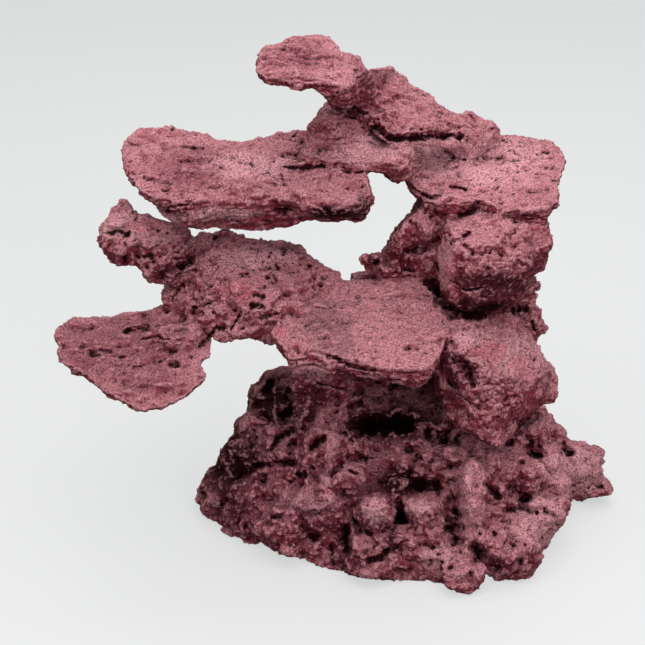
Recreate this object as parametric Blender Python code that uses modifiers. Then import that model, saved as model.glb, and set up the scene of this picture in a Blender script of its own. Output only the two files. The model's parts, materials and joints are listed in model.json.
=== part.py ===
"""Coralline reef rock: a free-standing aquascape of fifteen rocks and ledges bonded together.

Every rock is laid up from rough bricks (tilted ledges, hulls of corner points and round lumps),
fused into one skin, roughened, thinned to a faceted solid, pitted, and then cut back where it
meets a rock that is already in place, so that a thin bond line is left between the two.
Lengths in the lists are millimetres; the finished rock is in metres, Z up, standing on Z = 0.
"""

import bmesh
import bpy
from mathutils import Matrix, Vector

MM = 0.001

# Driving sizes, in millimetres.
BOND_LINE = 0.45         # gap left between two rocks that touch
BOND_CUTS = (1.0, 0.6, 0.3, 0.1)  # how far each cut for a bond line is grown, as shares of it
SKIN_CELL = 3.0          # cell of the skin that fuses the bricks of one rock
GRAIN_SIZE = 15.0        # width of the lumps the roughening raises
GRAIN_HEIGHT = 7.0       # how far the roughening can move the skin in all
LEDGE_THICKNESS = 10.0   # the usual thickness of a ledge at its lip
FLAT_CUT = 0.0           # height of the flat cut underside

# Where the middle of the footprint lies in the frame the lists are written in.
FOOT_CENTRE = Vector((7.1, 10.5, 0.0))

# The outline of the foot on the floor.
FOOT_OUTLINE = [
    (-101, 18), (-84, -18), (-65, -37), (-48, -36), (-25, -61), (-3, -67), (16, -82),
    (47, -89), (68, -82), (91, -99), (108, -80), (126, -87), (138, -73), (152, -50),
    (169, -28), (174, -7), (184, 28), (176, 52), (150, 78), (110, 92), (60, 97),
    (10, 92), (-40, 84), (-80, 64), (-102, 42),
]

# The knobs that stand out of the foot: (centre, radii), from left to right.
FOOT_LUMPS = [
    ((-86, 8, 12), (11, 13, 11)), ((-68, 0, 50), (13, 16, 12)), ((-63, 12, 65), (9, 10, 8)),
    ((-58, -28, 34), (14, 10, 12)),
    ((-35, -54, 24), (16, 12, 16)), ((-12, -60, 40), (12, 10, 10)), ((12, -50, 60), (8, 9, 14)),
    ((31, -66, 46), (13, 12, 15)), ((31, -76, 14), (21, 14, 19)), ((44, -50, 50), (9, 9, 10)),
    ((64, -63, 42), (14, 13, 14)), ((64, -72, 16), (26, 14, 18)), ((66, -42, 64), (9, 9, 9)),
    ((84, -42, 74), (9, 9, 8)), ((90, -87, 7), (13, 13, 12)), ((97, -60, 50), (11, 14, 30)),
    ((112, -78, 26), (12, 11, 11)), ((127, -76, 14), (17, 14, 18)), ((138, -34, 54), (13, 13, 13)),
    ((152, -44, 26), (13, 13, 14)), ((142, -6, 70), (12, 14, 12)), ((162, -18, 32), (13, 14, 15)),
    ((152, 38, 50), (16, 18, 18)), ((176, 27, 26), (22, 16, 18)), ((197, 24, 33), (12, 12, 12)),
    ((200, 22, 14), (12, 10, 11)), ((170, 30, 40), (12, 12, 10)), ((190, 21, 8), (14, 10, 8)),
]


def clear_scene():
    """Remove everything a new file starts with."""
    for item in list(bpy.data.objects):
        bpy.data.objects.remove(item)


def new_collection(name, hidden=False):
    collection = bpy.data.collections.new(name)
    bpy.context.scene.collection.children.link(collection)
    collection.hide_render = hidden
    return collection


def ledge(bm, outline, height, thickness=LEDGE_THICKNESS, top=1.0, bottom=0.94):
    """A ledge with its upper face on a tilted plane and its underside drawn in.

    height is (x, y, z, rise along x, rise along y) of a point on the upper face.
    """
    x0, y0, z0, rise_x, rise_y = height
    middle = Vector((sum(p[0] for p in outline), sum(p[1] for p in outline), 0)) / len(outline)
    rings = []
    for scale, drop in ((top, 0.0), (bottom, thickness)):
        ring = []
        for x, y in outline:
            at = middle + (Vector((x, y, 0)) - middle) * scale
            at.z = z0 + rise_x * (at.x - x0) + rise_y * (at.y - y0) - drop
            ring.append(bm.verts.new(at * MM))
        rings.append(ring)
    upper, lower = rings
    bm.faces.new(upper)
    bm.faces.new(list(reversed(lower)))
    for i, corner in enumerate(upper):
        after = (i + 1) % len(upper)
        bm.faces.new((corner, lower[i], lower[after], upper[after]))


def block(bm, corners):
    """A boulder: the hull of its corner points."""
    points = [bm.verts.new(Vector(c) * MM) for c in corners]
    hull = bmesh.ops.convex_hull(bm, input=points)
    inside = set(hull["geom_interior"]) | set(hull["geom_unused"])
    spare = [item for item in inside if isinstance(item, bmesh.types.BMVert)]
    bmesh.ops.delete(bm, geom=spare, context="VERTS")


def lump(bm, centre, radii, detail=2):
    """A round knob: a ball stretched to three radii."""
    at = Matrix.Translation(Vector(centre) * MM)
    size = Matrix.Diagonal((*[r * MM for r in radii], 1.0))
    bmesh.ops.create_icosphere(bm, subdivisions=detail, radius=1.0, matrix=at @ size)


def object_from(name, bm, collection):
    bmesh.ops.recalc_face_normals(bm, faces=bm.faces)
    mesh = bpy.data.meshes.new(name)
    bm.to_mesh(mesh)
    bm.free()
    item = bpy.data.objects.new(name, mesh)
    collection.objects.link(item)
    return item


def settle(item):
    """Turn an object's modifiers into its mesh."""
    bpy.context.view_layer.update()
    graph = bpy.context.evaluated_depsgraph_get()
    mesh = bpy.data.meshes.new_from_object(item.evaluated_get(graph), depsgraph=graph)
    item.modifiers.clear()
    item.data = mesh


def fuse(item):
    """Fuse overlapping bricks into one skin."""
    skin = item.modifiers.new("skin", "REMESH")
    skin.mode = "VOXEL"
    skin.voxel_size = SKIN_CELL * MM
    skin.use_smooth_shade = False
    settle(item)


def roughen_and_thin(item, triangles, roughness):
    """Roughen a rock's skin and thin it to about so many triangles."""
    clouds = bpy.data.textures.new(item.name + "_clouds", "CLOUDS")
    clouds.noise_scale = GRAIN_SIZE * MM
    clouds.noise_depth = 2
    rough = item.modifiers.new("rough", "DISPLACE")
    rough.texture = clouds
    rough.texture_coords = "GLOBAL"
    rough.strength = GRAIN_HEIGHT * roughness * MM
    rough.mid_level = 0.5
    settle(item)
    thin = item.modifiers.new("thin", "DECIMATE")
    thin.ratio = min(1.0, triangles / (2 * len(item.data.polygons)))
    settle(item)


def cut_away(item, cutter):
    """Take the cutter's space out of a rock."""
    cut = item.modifiers.new("cut", "BOOLEAN")
    cut.operation = "DIFFERENCE"
    cut.solver = "MANIFOLD"
    cut.object = cutter
    settle(item)


def keep_largest_body(item):
    """Drop the crumbs a cut leaves loose."""
    bm = bmesh.new()
    bm.from_mesh(item.data)
    left = set(bm.verts)
    bodies = []
    while left:
        body = {left.pop()}
        edge_of_body = list(body)
        while edge_of_body:
            at = edge_of_body.pop()
            for edge in at.link_edges:
                other = edge.other_vert(at)
                if other not in body:
                    body.add(other)
                    edge_of_body.append(other)
        left -= body
        bodies.append(body)
    bodies.sort(key=len)
    crumbs = [vert for body in bodies[:-1] for vert in body]
    bmesh.ops.delete(bm, geom=crumbs, context="VERTS")
    bm.to_mesh(item.data)
    bm.free()


def pit_rock(item, pits, helpers):
    """Sink round pits, given as (centre, radii), into a rock."""
    bm = bmesh.new()
    for centre, radii in pits:
        lump(bm, centre, radii)
    cutter = object_from(item.name + "_pits", bm, helpers)
    cutter.hide_render = True
    cutter.display_type = "WIRE"
    fuse(cutter)
    cut_away(item, cutter)
    fuse(item)


def fit_against(item, neighbour, helpers):
    """Cut a rock back where it meets a neighbour, leaving the bond line between them.

    The neighbour is grown by the bond line to cut with. Growing can fold a sharp hollow over,
    so the cuts that follow, each grown less, clear what such a fold has left.
    """
    for share in BOND_CUTS:
        name = f"{item.name}_against_{neighbour.name}"
        cutter = bpy.data.objects.new(name, neighbour.data.copy())
        helpers.objects.link(cutter)
        cutter.hide_render = True
        cutter.display_type = "WIRE"
        grow = cutter.modifiers.new("grow", "DISPLACE")
        grow.strength = BOND_LINE * share * MM
        grow.mid_level = 0.0
        settle(cutter)
        cut_away(item, cutter)
    keep_largest_body(item)


def cut_flat_underneath(item):
    """Cut the foot off flat where it stands on the floor."""
    bm = bmesh.new()
    bm.from_mesh(item.data)
    everything = bm.verts[:] + bm.edges[:] + bm.faces[:]
    floor = Vector((0, 0, FLAT_CUT * MM))
    done = bmesh.ops.bisect_plane(
        bm, geom=everything, dist=1e-6, plane_co=floor, plane_no=(0, 0, -1), clear_outer=True
    )
    rim = [item for item in done["geom_cut"] if isinstance(item, bmesh.types.BMEdge)]
    bmesh.ops.holes_fill(bm, edges=rim, sides=0)
    bmesh.ops.triangulate(bm, faces=bm.faces[:])
    bm.to_mesh(item.data)
    bm.free()


def colour_rock(item, name, colour, roughness=0.95):
    material = bpy.data.materials.new(name)
    material.use_nodes = True
    shader = material.node_tree.nodes["Principled BSDF"]
    shader.inputs["Base Color"].default_value = (*colour, 1.0)
    shader.inputs["Roughness"].default_value = roughness
    material.diffuse_color = (*colour, 1.0)
    item.data.materials.clear()
    item.data.materials.append(material)


def base_bricks(bm):
    """The wide pitted foot, with the mound, strut, shoulders and arm that grow from it."""
    ledge(bm, FOOT_OUTLINE, (0, 0, 22, 0, 0), thickness=28, top=0.93, bottom=1.0)
    # left shoulder
    block(bm, [
        (-56, 15, 72), (-74, 12, 56), (-82, 12, 36), (-92, 20, 10), (-74, -22, 8),
        (-50, -34, 30), (-35, -25, 68), (-30, 30, 74), (-56, 50, 58), (-86, 48, 12),
        (-20, 60, 60), (-20, -34, 8),
    ])
    # middle mound
    block(bm, [
        (-8, -30, 90), (8, -28, 88), (-28, -30, 62), (22, -38, 66), (-30, -52, 30),
        (-24, -56, 8), (-2, -60, 10), (14, -62, 34), (25, -40, 40), (0, 20, 86),
        (-20, 20, 76), (20, 10, 70),
    ])
    # low apron in front of the mound
    block(bm, [
        (-83, -14, 4), (-80, -14, 22), (-64, -37, 4), (-62, -34, 26), (-25, -60, 4),
        (-22, -60, 36), (-3, -65, 4), (-4, -62, 34), (-8, -44, 52), (-60, 0, 44),
    ])
    # rough ground under the cave and the boulders
    block(bm, [
        (25, -46, 44), (70, -54, 52), (105, -40, 76), (100, 30, 88), (60, 60, 88),
        (0, 55, 88), (-10, 10, 74), (30, -10, 62), (20, -40, 10), (105, -50, 10),
    ])
    # right flank
    block(bm, [
        (104, -60, 74), (120, -60, 44), (138, -64, 18), (125, -80, 4), (110, -72, 4),
        (147, -48, 6), (162, -26, 10), (168, -6, 12), (165, 0, 50), (140, -30, 62),
        (150, 30, 68), (105, -20, 84), (100, 20, 86), (160, 42, 62),
    ])
    # rear flank
    block(bm, [
        (-60, 60, 58), (-20, 75, 88), (60, 85, 98), (120, 70, 94), (150, 60, 70),
        (165, 55, 40), (150, 75, 8), (60, 92, 8), (-40, 80, 8), (-80, 62, 8),
        (-20, 40, 84), (120, 30, 88),
    ])
    # strut that carries the centre shelf
    block(bm, [
        (-24, -10, 62), (6, -10, 66), (8, 24, 70), (-22, 26, 68), (-28, -16, 144),
        (16, -12, 148), (14, 26, 156), (-26, 24, 154),
    ])
    for centre, radii in FOOT_LUMPS:
        lump(bm, centre, radii)


def left_block_bricks(bm):
    block(bm, [
        (-60, 20, 87), (-54, 25, 95), (-40, 35, 103), (-28, 36, 104), (-18, 30, 100),
        (-58, 8, 66), (-24, 0, 66), (-20, 8, 102), (-58, 42, 60), (-30, 58, 66),
        (-22, 50, 98), (-50, 48, 94),
    ])


def centre_shelf_bricks(bm):
    ledge(bm, [
        (-44, -26), (-37, -40), (-30, -58), (-22, -52), (-10, -54), (13, -60), (28, -67),
        (48, -71), (66, -73), (73, -51), (82, -19), (78, -4), (74, 20), (63, 33),
        (27, 36), (7, 32), (-15, 18), (-33, 0),
    ], (0, -70, 157, 0, 0.20), thickness=17, bottom=0.90)
    lump(bm, (48, -12, 150), (32, 34, 17))


def lower_boulder_bricks(bm):
    block(bm, [
        (82, -15, 164), (100, -5, 165), (127, 25, 156), (143, 30, 138), (153, 25, 122),
        (165, 10, 101), (159, 2, 95), (113, -50, 136), (87, -45, 158), (134, -25, 98),
        (112, -62, 92), (100, -60, 98), (80, -40, 105), (79, -37, 119), (84, 32, 166),
        (120, 50, 140), (150, 45, 100), (76, 45, 96), (140, 20, 82), (86, 10, 80),
        (64, -20, 150), (66, 20, 162), (162, 16, 112),
    ])


def upper_boulder_bricks(bm):
    block(bm, [
        (95, 15, 226), (116, 20, 226), (147, 20, 225), (155, 15, 214), (149, 5, 210),
        (141, 5, 202), (137, 10, 190), (78, -16, 222), (97, -15, 226), (98, -30, 210),
        (127, -15, 200), (78, -8, 179), (98, -12, 171), (116, -5, 171), (131, 5, 174),
        (80, 42, 228), (142, 48, 228), (76, 40, 182), (140, 48, 180), (100, 34, 158),
        (128, 34, 154),
    ])
    lump(bm, (144, 14, 210), (9, 12, 9))


def knobbly_rock_bricks(bm):
    block(bm, [
        (53, 45, 216), (66, 48, 222), (48, 42, 210), (41, 42, 195), (32, 45, 180),
        (34, 38, 174), (49, 35, 178), (82, 32, 178), (84, 36, 216), (92, 60, 234),
        (70, 70, 234), (40, 70, 186), (88, 74, 190),
    ])
    block(bm, [
        (8, 40, 88), (84, 36, 88), (84, 74, 90), (10, 74, 88), (18, 42, 172),
        (84, 36, 180), (84, 72, 184), (30, 72, 176),
    ])
    lump(bm, (54, 40, 203), (11, 12, 13))
    lump(bm, (42, 35, 189), (11, 10, 9))
    lump(bm, (27, 42, 186), (7, 8, 8))
    lump(bm, (66, 42, 214), (11, 11, 11))
    lump(bm, (70, 34, 190), (11, 10, 13))


def rear_pillar_bricks(bm):
    block(bm, [
        (120, 54, 84), (150, 54, 88), (150, 80, 84), (118, 82, 84), (122, 54, 240),
        (144, 56, 236), (138, 82, 244), (118, 82, 244),
    ])
    lump(bm, (146, 47, 147), (9, 9, 11))
    lump(bm, (148, 52, 129), (9, 9, 9))
    lump(bm, (138, 48, 138), (9, 8, 11))
    lump(bm, (144, 46, 163), (8, 8, 9))


def right_top_slab_bricks(bm):
    ledge(bm, [
        (44, 94), (48, 70), (52, 53), (64, 41), (78, 26), (94, 28), (108, 31), (114, 25),
        (124, 17), (149, 12), (156, 26), (162, 41), (162, 54), (171, 82), (171, 95),
        (162, 113), (150, 117), (132, 118), (111, 123), (73, 115),
    ], (0, 15, 235, 0, 0.23), thickness=11, bottom=0.93)
    lump(bm, (84, 42, 232), (22, 14, 9))


def bridge_slab_bricks(bm):
    ledge(bm, [
        (-22, 45), (-5, 33), (5, 32), (23, 31), (36, 31), (50, 30), (58, 45), (54, 65),
        (34, 84), (10, 92), (-6, 95), (-15, 78),
    ], (0, 30, 265, 0, 0.25), thickness=10, bottom=0.96)
    # spire with a ridge down its front
    block(bm, [
        (-5, 56, 297), (3, 55, 297), (3, 44, 276), (-22, 50, 268), (-18, 70, 277),
        (30, 52, 270), (31, 74, 291), (-10, 88, 282), (12, 84, 297),
    ])
    lump(bm, (47, 52, 254), (13, 16, 12))


def left_upper_shelf_bricks(bm):
    ledge(bm, [
        (-149, 49), (-143, 31), (-132, 16), (-126, 8), (-109, 1), (-69, 0), (-28, 1),
        (-2, -8), (12, -6), (23, -2), (29, 23), (22, 42), (-1, 62), (-6, 92), (-24, 86),
        (-57, 79), (-68, 73), (-88, 84), (-115, 96), (-138, 92), (-151, 74),
    ], (0, 5, 250, 0, 0.27), thickness=9, bottom=0.96)
    # deep keel under the lip
    block(bm, [
        (-128, 16, 246), (-105, 4, 242), (25, 3, 242), (29, 30, 248), (-8, 70, 260),
        (-108, 75, 260), (-120, 20, 231), (-101, 12, 223), (-60, 10, 221), (-24, 12, 223),
        (24, 12, 229), (26, 28, 234), (-8, 55, 240), (-96, 60, 240),
    ])


def crown_slab_bricks(bm):
    ledge(bm, [
        (17, 55), (27, 47), (38, 40), (55, 49), (67, 56), (85, 66), (96, 72), (110, 79),
        (125, 96), (115, 103), (104, 105), (93, 95), (78, 87), (71, 97), (58, 101),
        (44, 106), (22, 92),
    ], (28, 48, 293, -0.5, 0.5), thickness=13, bottom=0.95)
    lump(bm, (97, 86, 262), (17, 13, 12))


def crown_tip_slab_bricks(bm):
    ledge(bm, [
        (-54, 29), (-54, 43), (-49, 62), (-33, 77), (-10, 78), (2, 70), (9, 57),
        (16, 31), (17, 9), (5, 5), (-10, 8), (-31, 11), (-46, 15),
    ], (0, 10, 329, 0, 0.20), thickness=9, bottom=0.95)
    lump(bm, (6, 22, 317), (12, 16, 12))
    lump(bm, (15, 48, 318), (10, 17, 15))
    # the foot of the neck, which stands on the crown slab
    lump(bm, (20, 61, 309), (11, 15, 14))


def left_arm_bricks(bm):
    block(bm, [
        (-98, 50, 205), (-81, 50, 208), (-63, 48, 203), (-33, 50, 201), (-21, 42, 195),
        (-11, 40, 191), (7, 32, 178), (-83, -12, 153), (-70, -15, 151), (-39, -12, 149),
        (-104, 30, 186), (-81, 0, 175), (-56, -18, 178), (-29, -10, 172), (-127, 38, 164),
        (-114, 36, 176), (-100, 8, 153), (-90, 62, 180), (-20, 60, 170), (-80, 52, 156), (-5, 45, 164),
    ])


def left_finger_bricks(bm):
    block(bm, [
        (-168, 38, 208), (-161, 42, 222), (-147, 46, 234), (-137, 42, 225), (-159, 30, 194),
        (-151, 28, 186), (-138, 25, 190), (-152, 23, 214), (-150, 58, 205),
    ])
    block(bm, [
        (-144, 42, 224), (-130, 40, 224), (-112, 42, 218), (-106, 42, 209), (-94, 46, 205),
        (-136, 24, 189), (-126, 22, 178), (-110, 25, 173), (-94, 30, 182), (-130, 17, 210),
        (-110, 20, 197), (-122, 58, 196), (-94, 52, 190), (-140, 50, 200),
    ])


def left_plate_bricks(bm):
    ledge(bm, [
        (-199, 6), (-190, -23), (-176, -31), (-161, -45), (-147, -57), (-131, -67),
        (-120, -69), (-105, -62), (-93, -50), (-81, -35), (-87, -21), (-82, -6),
        (-86, 6), (-94, 18), (-109, 35), (-126, 38), (-147, 27), (-165, 26), (-190, 21),
    ], (0, -70, 127, 0, 0.29), thickness=8, bottom=0.94)
    lump(bm, (-106, 6, 150), (22, 24, 10))


# name, bricks, triangles, roughness, colour (linear), in the order the rocks are set in place
ROCKS = [
    ("base_rock", base_bricks, 2400, 1.3, (0.20, 0.060, 0.085)),
    ("base_left_block", left_block_bricks, 240, 1.2, (0.10, 0.028, 0.040)),
    ("right_lower_boulder", lower_boulder_bricks, 420, 1.0, (0.30, 0.080, 0.110)),
    ("centre_shelf", centre_shelf_bricks, 480, 0.7, (0.38, 0.130, 0.165)),
    ("knobbly_rock", knobbly_rock_bricks, 460, 1.3, (0.30, 0.090, 0.120)),
    ("rear_pillar", rear_pillar_bricks, 260, 1.2, (0.18, 0.050, 0.070)),
    ("right_upper_boulder", upper_boulder_bricks, 420, 1.0, (0.34, 0.100, 0.135)),
    ("right_top_slab", right_top_slab_bricks, 460, 0.7, (0.40, 0.140, 0.180)),
    ("left_arm_rock", left_arm_bricks, 480, 1.1, (0.34, 0.100, 0.135)),
    ("left_finger_rock", left_finger_bricks, 320, 1.0, (0.32, 0.100, 0.130)),
    ("left_plate", left_plate_bricks, 380, 0.8, (0.33, 0.100, 0.135)),
    ("left_upper_shelf", left_upper_shelf_bricks, 640, 0.8, (0.38, 0.130, 0.165)),
    ("bridge_slab", bridge_slab_bricks, 300, 0.8, (0.36, 0.120, 0.155)),
    ("crown_slab", crown_slab_bricks, 340, 0.8, (0.38, 0.130, 0.165)),
    ("crown_tip_slab", crown_tip_slab_bricks, 320, 0.8, (0.40, 0.140, 0.175)),
]

# The pairs that touch: the first is cut back to make room for the second.
BONDS = [
    ("base_rock", "base_left_block"),
    ("base_rock", "right_lower_boulder"),
    ("base_rock", "centre_shelf"),
    ("knobbly_rock", "base_rock"),
    ("knobbly_rock", "right_lower_boulder"),
    ("knobbly_rock", "centre_shelf"),
    ("rear_pillar", "base_rock"),
    ("rear_pillar", "right_lower_boulder"),
    ("right_lower_boulder", "centre_shelf"),
    ("right_upper_boulder", "right_lower_boulder"),
    ("knobbly_rock", "right_upper_boulder"),
    ("knobbly_rock", "right_top_slab"),
    ("rear_pillar", "right_upper_boulder"),
    ("rear_pillar", "right_top_slab"),
    ("rear_pillar", "knobbly_rock"),
    ("right_upper_boulder", "right_top_slab"),
    ("left_arm_rock", "centre_shelf"),
    ("left_finger_rock", "left_arm_rock"),
    ("left_arm_rock", "left_plate"),
    ("left_finger_rock", "left_plate"),
    ("bridge_slab", "left_upper_shelf"),
    ("bridge_slab", "right_top_slab"),
    ("bridge_slab", "crown_slab"),
    ("right_top_slab", "crown_slab"),
    ("crown_tip_slab", "bridge_slab"),
    ("crown_tip_slab", "crown_slab"),
]

# The pits and hollows that show from a step away: (centre, radii) for each rock.
PITS = {
    "base_rock": [
        ((-40, -8, 74), (6, 9, 6)), ((-31, -14, 66), (6, 9, 6)), ((-48, -22, 55), (10, 8, 5)),
        ((-22, -40, 59), (5, 7, 5)), ((-10, -34, 78), (7, 7, 6)), ((-40, -45, 28), (7, 7, 4)),
        ((-16, -64, 28), (14, 9, 8)), ((7, -58, 50), (4, 9, 13)), ((7, -70, 26), (4, 9, 14)),
        ((26, -78, 32), (5, 7, 4)), ((36, -90, 20), (8, 8, 6)), ((58, -52, 62), (14, 12, 11)),
        ((84, -66, 42), (6, 9, 6)), ((102, -82, 22), (5, 9, 8)), ((111, -68, 60), (7, 9, 7)),
        ((135, -52, 40), (13, 10, 7)), ((146, -16, 64), (8, 9, 8)), ((172, 16, 42), (8, 8, 5)),
        ((197, 12, 22), (8, 5, 5)), ((48, -62, 28), (4, 10, 12)), ((-72, -28, 24), (6, 9, 5)),
        ((80, -80, 24), (4, 8, 9)), ((40, -6, 80), (14, 12, 8)), ((150, -62, 14), (7, 8, 6)),
        ((-90, 4, 33), (7, 14, 6)),
    ],
    "base_left_block": [((-48, 15, 90), (6, 6, 7)), ((-34, 15, 94), (5, 6, 6))],
    "centre_shelf": [((18, -66, 152), (14, 9, 3)), ((4, -62, 156), (10, 6, 2.5))],
    "right_lower_boulder": [((85, -52, 140), (10, 9, 9)), ((124, -46, 118), (5, 6, 5))],
    "right_upper_boulder": [
        ((90, -22, 222), (6, 5, 4)), ((80, -18, 226), (10, 8, 5)), ((90, -22, 190), (8, 6, 4)),
    ],
    "knobbly_rock": [((43, 30, 200), (4, 5, 4)), ((76, 24, 192), (5, 6, 6))],
    "right_top_slab": [((88, 40, 243), (8, 6, 3)), ((70, 28, 236), (8, 7, 4))],
    "left_upper_shelf": [
        ((-19, 37, 259), (15, 4, 5)), ((-35, 2, 239), (9, 5, 5)), ((2, -9, 240), (9, 5, 5)),
        ((-14, 8, 225), (12, 9, 9)), ((-102, 63, 267), (8, 4, 4)),
    ],
    "left_arm_rock": [
        ((-51, -16, 181), (8, 9, 9)), ((-62, -20, 161), (5, 8, 8)), ((-60, 8, 192), (5, 5, 5)),
        ((-84, -16, 154), (6, 8, 6)),
    ],
    "left_finger_rock": [((-149, 24, 215), (10, 6, 4)), ((-131, 17, 197), (8, 7, 6))],
    "left_plate": [
        ((-138, 6, 152), (12, 6, 5)), ((-112, -21, 145), (9, 6, 5)), ((-98, -25, 144), (8, 7, 5)),
        ((-130, -31, 141), (7, 4, 4)),
    ],
    "crown_tip_slab": [((3, 1, 320), (5, 5, 4))],
}


def move_to_origin(rocks):
    """Stand the whole on the origin by the middle of its footprint."""
    for item in rocks:
        item.data.transform(Matrix.Translation(-FOOT_CENTRE * MM))


def main():
    clear_scene()
    part = new_collection("coralline_reef_rock")
    helpers = new_collection("helpers", hidden=True)
    rocks = {}
    for name, bricks, triangles, roughness, _ in ROCKS:
        bm = bmesh.new()
        bricks(bm)
        rock = object_from(name, bm, part)
        fuse(rock)
        if name in PITS:
            pit_rock(rock, PITS[name], helpers)
        roughen_and_thin(rock, triangles, roughness)
        keep_largest_body(rock)
        rocks[name] = rock
    cut_flat_underneath(rocks["base_rock"])
    for name, neighbour in BONDS:
        fit_against(rocks[name], rocks[neighbour], helpers)
    move_to_origin(rocks.values())
    for name, _, _, _, colour in ROCKS:
        colour_rock(rocks[name], name + "_stone", colour)


main()
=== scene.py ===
# %% [markdown]
# # A coralline reef rock
# The object is an aquarium rockscape: fifteen pieces of pitted reef rock and thin ledges, bonded into
# one free-standing arch and coated in the pink and wine crust of coralline algae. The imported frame
# gives every rock its place, size and main form as a faceted solid. This lesson turns each faceted
# solid into weathered stone: knobs, pits and cracks as real geometry, then the crust as a material.

import json
import math

import bmesh
import bpy
import numpy as np
from mathutils import Matrix, Vector
from mathutils.bvhtree import BVHTree

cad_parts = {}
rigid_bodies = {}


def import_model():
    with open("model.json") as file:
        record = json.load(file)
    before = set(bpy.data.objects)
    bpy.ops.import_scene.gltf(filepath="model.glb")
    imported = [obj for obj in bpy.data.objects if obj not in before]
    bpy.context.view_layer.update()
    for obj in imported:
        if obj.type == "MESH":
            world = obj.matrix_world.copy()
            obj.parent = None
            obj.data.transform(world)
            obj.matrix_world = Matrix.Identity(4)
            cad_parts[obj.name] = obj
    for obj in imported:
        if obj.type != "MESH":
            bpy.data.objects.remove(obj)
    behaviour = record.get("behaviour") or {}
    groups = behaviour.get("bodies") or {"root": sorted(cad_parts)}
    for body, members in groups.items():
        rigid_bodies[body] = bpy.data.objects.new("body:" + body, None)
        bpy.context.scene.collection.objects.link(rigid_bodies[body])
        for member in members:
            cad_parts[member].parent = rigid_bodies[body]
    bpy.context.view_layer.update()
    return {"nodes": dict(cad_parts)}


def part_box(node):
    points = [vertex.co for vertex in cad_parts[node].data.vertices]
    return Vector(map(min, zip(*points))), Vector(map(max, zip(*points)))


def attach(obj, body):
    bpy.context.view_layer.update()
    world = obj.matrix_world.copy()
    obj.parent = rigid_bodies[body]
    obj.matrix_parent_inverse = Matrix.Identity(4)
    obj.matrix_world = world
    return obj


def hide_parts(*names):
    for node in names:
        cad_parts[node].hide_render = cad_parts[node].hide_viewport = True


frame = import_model()
MM = 0.001
print("rocks in the frame:", ", ".join(sorted(frame["nodes"])))

# %% [markdown]
# ## The camera
# The camera comes first, because some pits and cracks are placed by where they are seen. It looks
# down at 25 degrees through a long lens, as a product photographer does to keep the shape honest.

# %% Camera and sight lines
PHOTO_SIZE = 645
LENS_MM, SENSOR_MM = 80.0, 36.0
EYE = Vector((-0.0137, -0.9168, 0.5806))
LOOK_DOWN = math.radians(25)
FOCAL = PHOTO_SIZE * LENS_MM / SENSOR_MM

camera_data = bpy.data.cameras.new("camera")
camera_data.lens = LENS_MM
camera_data.sensor_width = SENSOR_MM
camera = bpy.data.objects.new("camera", camera_data)
camera.location = EYE
camera.rotation_euler = (math.pi / 2 - LOOK_DOWN, 0, 0)
bpy.context.scene.collection.objects.link(camera)
bpy.context.scene.camera = camera

RIGHT = np.array((1.0, 0.0, 0.0))
UP = np.array((0.0, math.sin(LOOK_DOWN), math.cos(LOOK_DOWN)))
AHEAD = np.array((0.0, math.cos(LOOK_DOWN), -math.sin(LOOK_DOWN)))


def seen_at(points):
    """The photo pixel of each point, and how far ahead of the camera it is."""
    from_eye = points - np.array(EYE)
    ahead = from_eye @ AHEAD
    across = PHOTO_SIZE / 2 + FOCAL * (from_eye @ RIGHT) / ahead
    down = PHOTO_SIZE / 2 - FOCAL * (from_eye @ UP) / ahead
    return across, down, ahead


def sight_line(x, y):
    """The direction in which the camera sees a photo pixel."""
    line = AHEAD + RIGHT * (x - PHOTO_SIZE / 2) / FOCAL - UP * (y - PHOTO_SIZE / 2) / FOCAL
    return Vector(line).normalized()


def sight_to(points):
    """The direction from the camera to each point."""
    from_eye = points - np.array(EYE)
    return from_eye / np.linalg.norm(from_eye, axis=1, keepdims=True)


print("focal length in pixels:", round(FOCAL, 1))

# %% [markdown]
# ## Where a sight line meets the stone
# All the faceted solids go into one search tree, so that any photo pixel can be turned into a spot
# on the stone. A pit then sits on the rock that really carries it, whatever side it is seen from.

# %% Search tree of the faceted solids


def faceted_tree():
    corners, triangles = [], []
    for node in frame["nodes"].values():
        start = len(corners)
        corners += [vert.co.copy() for vert in node.data.vertices]
        triangles += [[start + i for i in face.vertices] for face in node.data.polygons]
    return BVHTree.FromPolygons(corners, triangles)


solids = faceted_tree()


def spot_on_stone(x, y):
    """The point and the outward direction of the stone at a photo pixel, or None."""
    point, normal, _, _ = solids.ray_cast(EYE, sight_line(x, y))
    return (point, normal) if point else None


print("stone at the middle of the photo:", spot_on_stone(360, 330))

# %% [markdown]
# ## Noise that stone can be shaped with
# Weathered rock is rough at every size. Two patterns cover it: rolling clouds for the uneven
# surface, and scattered cells for knobs and pits. Both are worked out for all points of a mesh at
# once, from a small table of seeded random numbers, so that every run gives the same stone.

# %% Clouds
random = np.random.default_rng(11)
SHUFFLE = random.permutation(256)
SLOPES = random.normal(size=(256, 3))
SLOPES /= np.linalg.norm(SLOPES, axis=1, keepdims=True)
OFFSETS = random.random((256, 3))
STEPS = np.array([(i, j, k) for i in (0, 1) for j in (0, 1) for k in (0, 1)])
AROUND = np.array([(i, j, k) for i in (-1, 0, 1) for j in (-1, 0, 1) for k in (-1, 0, 1)])


def draw(cells):
    """A repeatable number from 0 to 255 for each whole-number cell."""
    number = SHUFFLE[cells[:, 0] & 255]
    number = SHUFFLE[(number + cells[:, 1]) & 255]
    return SHUFFLE[(number + cells[:, 2]) & 255]


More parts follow.
